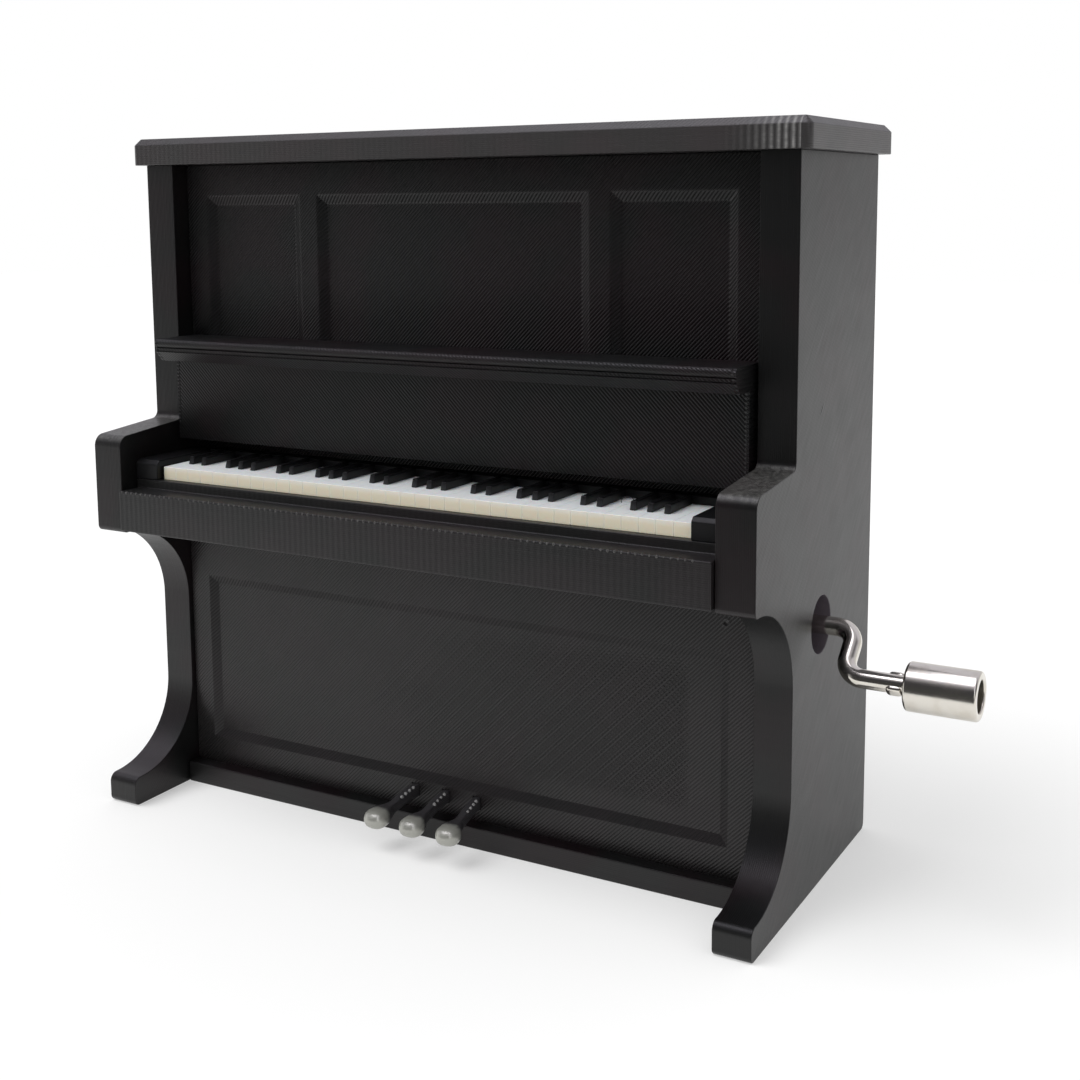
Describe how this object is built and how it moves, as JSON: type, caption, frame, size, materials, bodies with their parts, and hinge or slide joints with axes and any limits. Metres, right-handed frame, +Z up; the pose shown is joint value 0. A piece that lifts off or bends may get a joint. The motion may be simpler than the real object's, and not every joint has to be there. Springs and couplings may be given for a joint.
{
  "type": "cylinder music box",
  "caption": "Miniature black upright piano with white keys, pedals and a hand crank that drives a pinned-cylinder music movement inside its case.",
  "frame": {"origin": "on the floor at mid width of the case, in the plane of the side panels' front edges", "axes": "+X to the right seen from the front, where the crank is; +Y from the keyboard to the back; +Z up"},
  "size_m": [0.1323, 0.0488, 0.1044],
  "materials": {
    "black_print": "black 3-D printed plastic with a satin sheen, a 45 degree raster on flat boards and fine layer lines on edges",
    "white_print": "white 3-D printed plastic, slightly translucent, with engraved lines between keys",
    "silver_painted_print": "black printed stem fading into silver paint on the round toe",
    "nickel_plate": "bright, warm nickel plate with light drawing marks",
    "zinc_plated_steel": "zinc plated screw steel",
    "die_cast_zinc": "as-cast zinc alloy, dull grey",
    "comb_steel": "ground spring steel",
    "drum_brass": "turned brass, slightly dulled",
    "nylon": "natural moulded nylon"
  },
  "bodies": {
    "case": {"side_panel_left": "black_print", "side_panel_right": "black_print", "top_lid": "black_print", "upper_front_panel": "black_print", "fallboard": "black_print", "keybed": "black_print", "key_block_left": "black_print", "key_block_right": "black_print", "white_keys": "white_print", "black_keys": "black_print", "lower_front_panel": "black_print", "base_board": "black_print", "pedal_left": "silver_painted_print", "pedal_centre": "silver_painted_print", "pedal_right": "silver_painted_print", "back_cover": "black_print", "back_screws": "zinc_plated_steel", "movement_frame": "die_cast_zinc", "movement_screws": "zinc_plated_steel", "comb": "comb_steel", "comb_screws": "zinc_plated_steel", "arbor_bracket": "die_cast_zinc", "bracket_screws": "zinc_plated_steel"},
    "crank": {"crank_wire": "nickel_plate", "worm": "drum_brass"},
    "knob": {"crank_knob": "nickel_plate"},
    "cylinder": {"pin_cylinder": "drum_brass", "cylinder_gear": "nylon", "cylinder_plug": "drum_brass", "cylinder_arbor": "comb_steel"}
  },
  "joints": [
    {"name": "crank_spin", "type": "hinge", "parent": "case", "child": "crank", "pos_m": [0.0589, 0.0111, 0.0372], "axis": [1, 0, 0], "continuous": true},
    {"name": "knob_spin", "type": "hinge", "parent": "crank", "child": "knob", "pos_m": [0.072, 0.00539, 0.03241], "axis": [1, 0, 0], "continuous": true},
    {"name": "cylinder_spin", "type": "hinge", "parent": "case", "child": "cylinder", "pos_m": [0.028, 0.0201, 0.0215], "axis": [0, 0, 1], "continuous": true}
  ],
  "couplings": [
    {"joint": "cylinder_spin", "follows": "crank_spin", "ratio": -0.0625}
  ]
}
